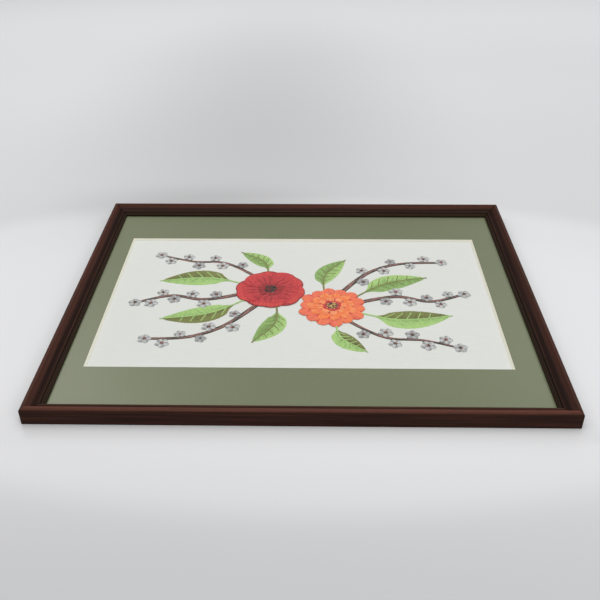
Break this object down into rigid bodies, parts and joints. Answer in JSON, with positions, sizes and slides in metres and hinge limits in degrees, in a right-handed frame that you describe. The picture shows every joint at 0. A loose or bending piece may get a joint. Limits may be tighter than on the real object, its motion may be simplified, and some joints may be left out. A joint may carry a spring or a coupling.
{
  "type": "framed needlepoint picture",
  "caption": "Framed needlework picture: flowers stitched on stretched white cloth, in a green bevelled window mat and a dark stained wood frame with mitred corners.",
  "frame": {"origin": "centre of the frame's footprint, on the surface that it lies on", "axes": "+Z out of the picture's face, +X towards the picture's foot, so the picture's top is towards -X; -Y is the picture's left side"},
  "size_m": [0.535, 0.4334, 0.019],
  "materials": {
    "stained_wood": "dark red brown stain under satin lacquer",
    "green_mat": "sage green paper faced board with a cream core",
    "white_cloth": "plain woven white cloth with coloured stitching",
    "brown_board": "plain pressed fibre board"
  },
  "bodies": {
    "root": {"rail_top": "stained_wood", "rail_foot": "stained_wood", "rail_left": "stained_wood", "rail_right": "stained_wood", "mat": "green_mat", "cloth": "white_cloth", "backing": "brown_board"}
  },
  "joints": []
}
